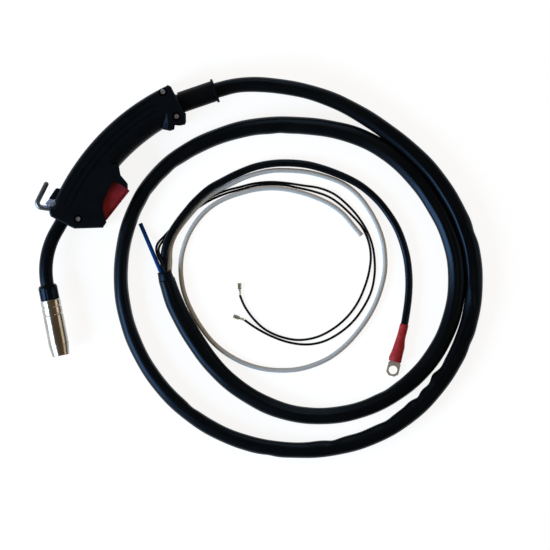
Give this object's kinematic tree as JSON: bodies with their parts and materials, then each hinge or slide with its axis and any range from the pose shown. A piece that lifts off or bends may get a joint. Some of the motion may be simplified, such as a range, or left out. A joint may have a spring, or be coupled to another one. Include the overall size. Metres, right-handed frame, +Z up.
{
  "type": "mig welding torch",
  "caption": "Hand-held MIG welding torch with a bent neck, gas nozzle, trigger and hanging hook, and its sheathed cable, gas hose, liner and control wires.",
  "frame": {"origin": "under the middle of the torch head's box, on the surface it lies on", "axes": "+Z up out of the surface, +Y from the gas nozzle towards the hose end of the handle, +X towards the coiled hose"},
  "size_m": [0.447, 0.3812, 0.032],
  "materials": {
    "black_shell": "fine satin grain",
    "black_rubber": "matt, lightly creased",
    "red_plastic": "satin",
    "switch_plastic": "satin",
    "nickel": "bright plated",
    "zinc": "zinc plated",
    "tin": "tinned, satin",
    "brass": "machined",
    "copper": "machined copper alloy",
    "heat_shrink": "satin shrunk sleeve",
    "clear_hose": "milky",
    "blue_liner": "gloss",
    "black_wire": "satin insulation"
  },
  "bodies": {
    "torch": {"handle_shell_bottom": "black_shell", "handle_shell_top": "black_shell", "shell_screws": "zinc", "hanging_hook": "zinc", "hook_clamp_block": "zinc", "hook_set_screw": "zinc", "trigger_pin": "zinc", "switch_body": "switch_plastic", "switch_terminals": "brass", "connector_block": "brass", "gas_nipple": "brass", "power_ferrule": "copper", "neck_tube": "brass", "neck_sleeve": "black_rubber", "insulating_collar": "black_shell", "retaining_ring": "zinc", "tip_holder": "brass", "contact_tip": "copper", "strain_relief": "black_rubber", "inner_power_cable": "black_rubber", "inner_gas_hose": "clear_hose", "inner_liner": "blue_liner", "inner_switch_wires": "black_wire", "hose_sheath": "black_rubber", "sheath_inner_sleeve": "black_rubber", "power_cable": "black_rubber", "lug_sleeve": "heat_shrink", "cable_lug": "tin", "gas_hose": "clear_hose", "wire_liner": "blue_liner", "control_wire_long": "black_wire", "control_wire_short": "black_wire", "spade_terminal_long": "tin", "spade_terminal_short": "tin"},
    "trigger": {"trigger": "red_plastic"},
    "switch_button": {"switch_button": "red_plastic"},
    "gas_nozzle": {"gas_nozzle": "nickel"}
  },
  "joints": [
    {"name": "trigger_pull", "type": "hinge", "parent": "torch", "child": "trigger", "pos_m": [-0.02561, 0.00043, 0.016], "axis": [0, 0, 1], "range_deg": [0, 6.5], "stiffness_Nm_per_rad": 0.6},
    {"name": "switch_press", "type": "slide", "parent": "torch", "child": "switch_button", "axis": [-1, 0, 0], "range_m": [0, 0.0028]},
    {"name": "nozzle_pull_off", "type": "slide", "parent": "torch", "child": "gas_nozzle", "axis": [0.1908, -0.9816, 0], "range_m": [0, 0.015]}
  ],
  "couplings": [
    {"joint": "switch_press", "follows": "trigger_pull", "m_per_rad": 0.02468}
  ]
}
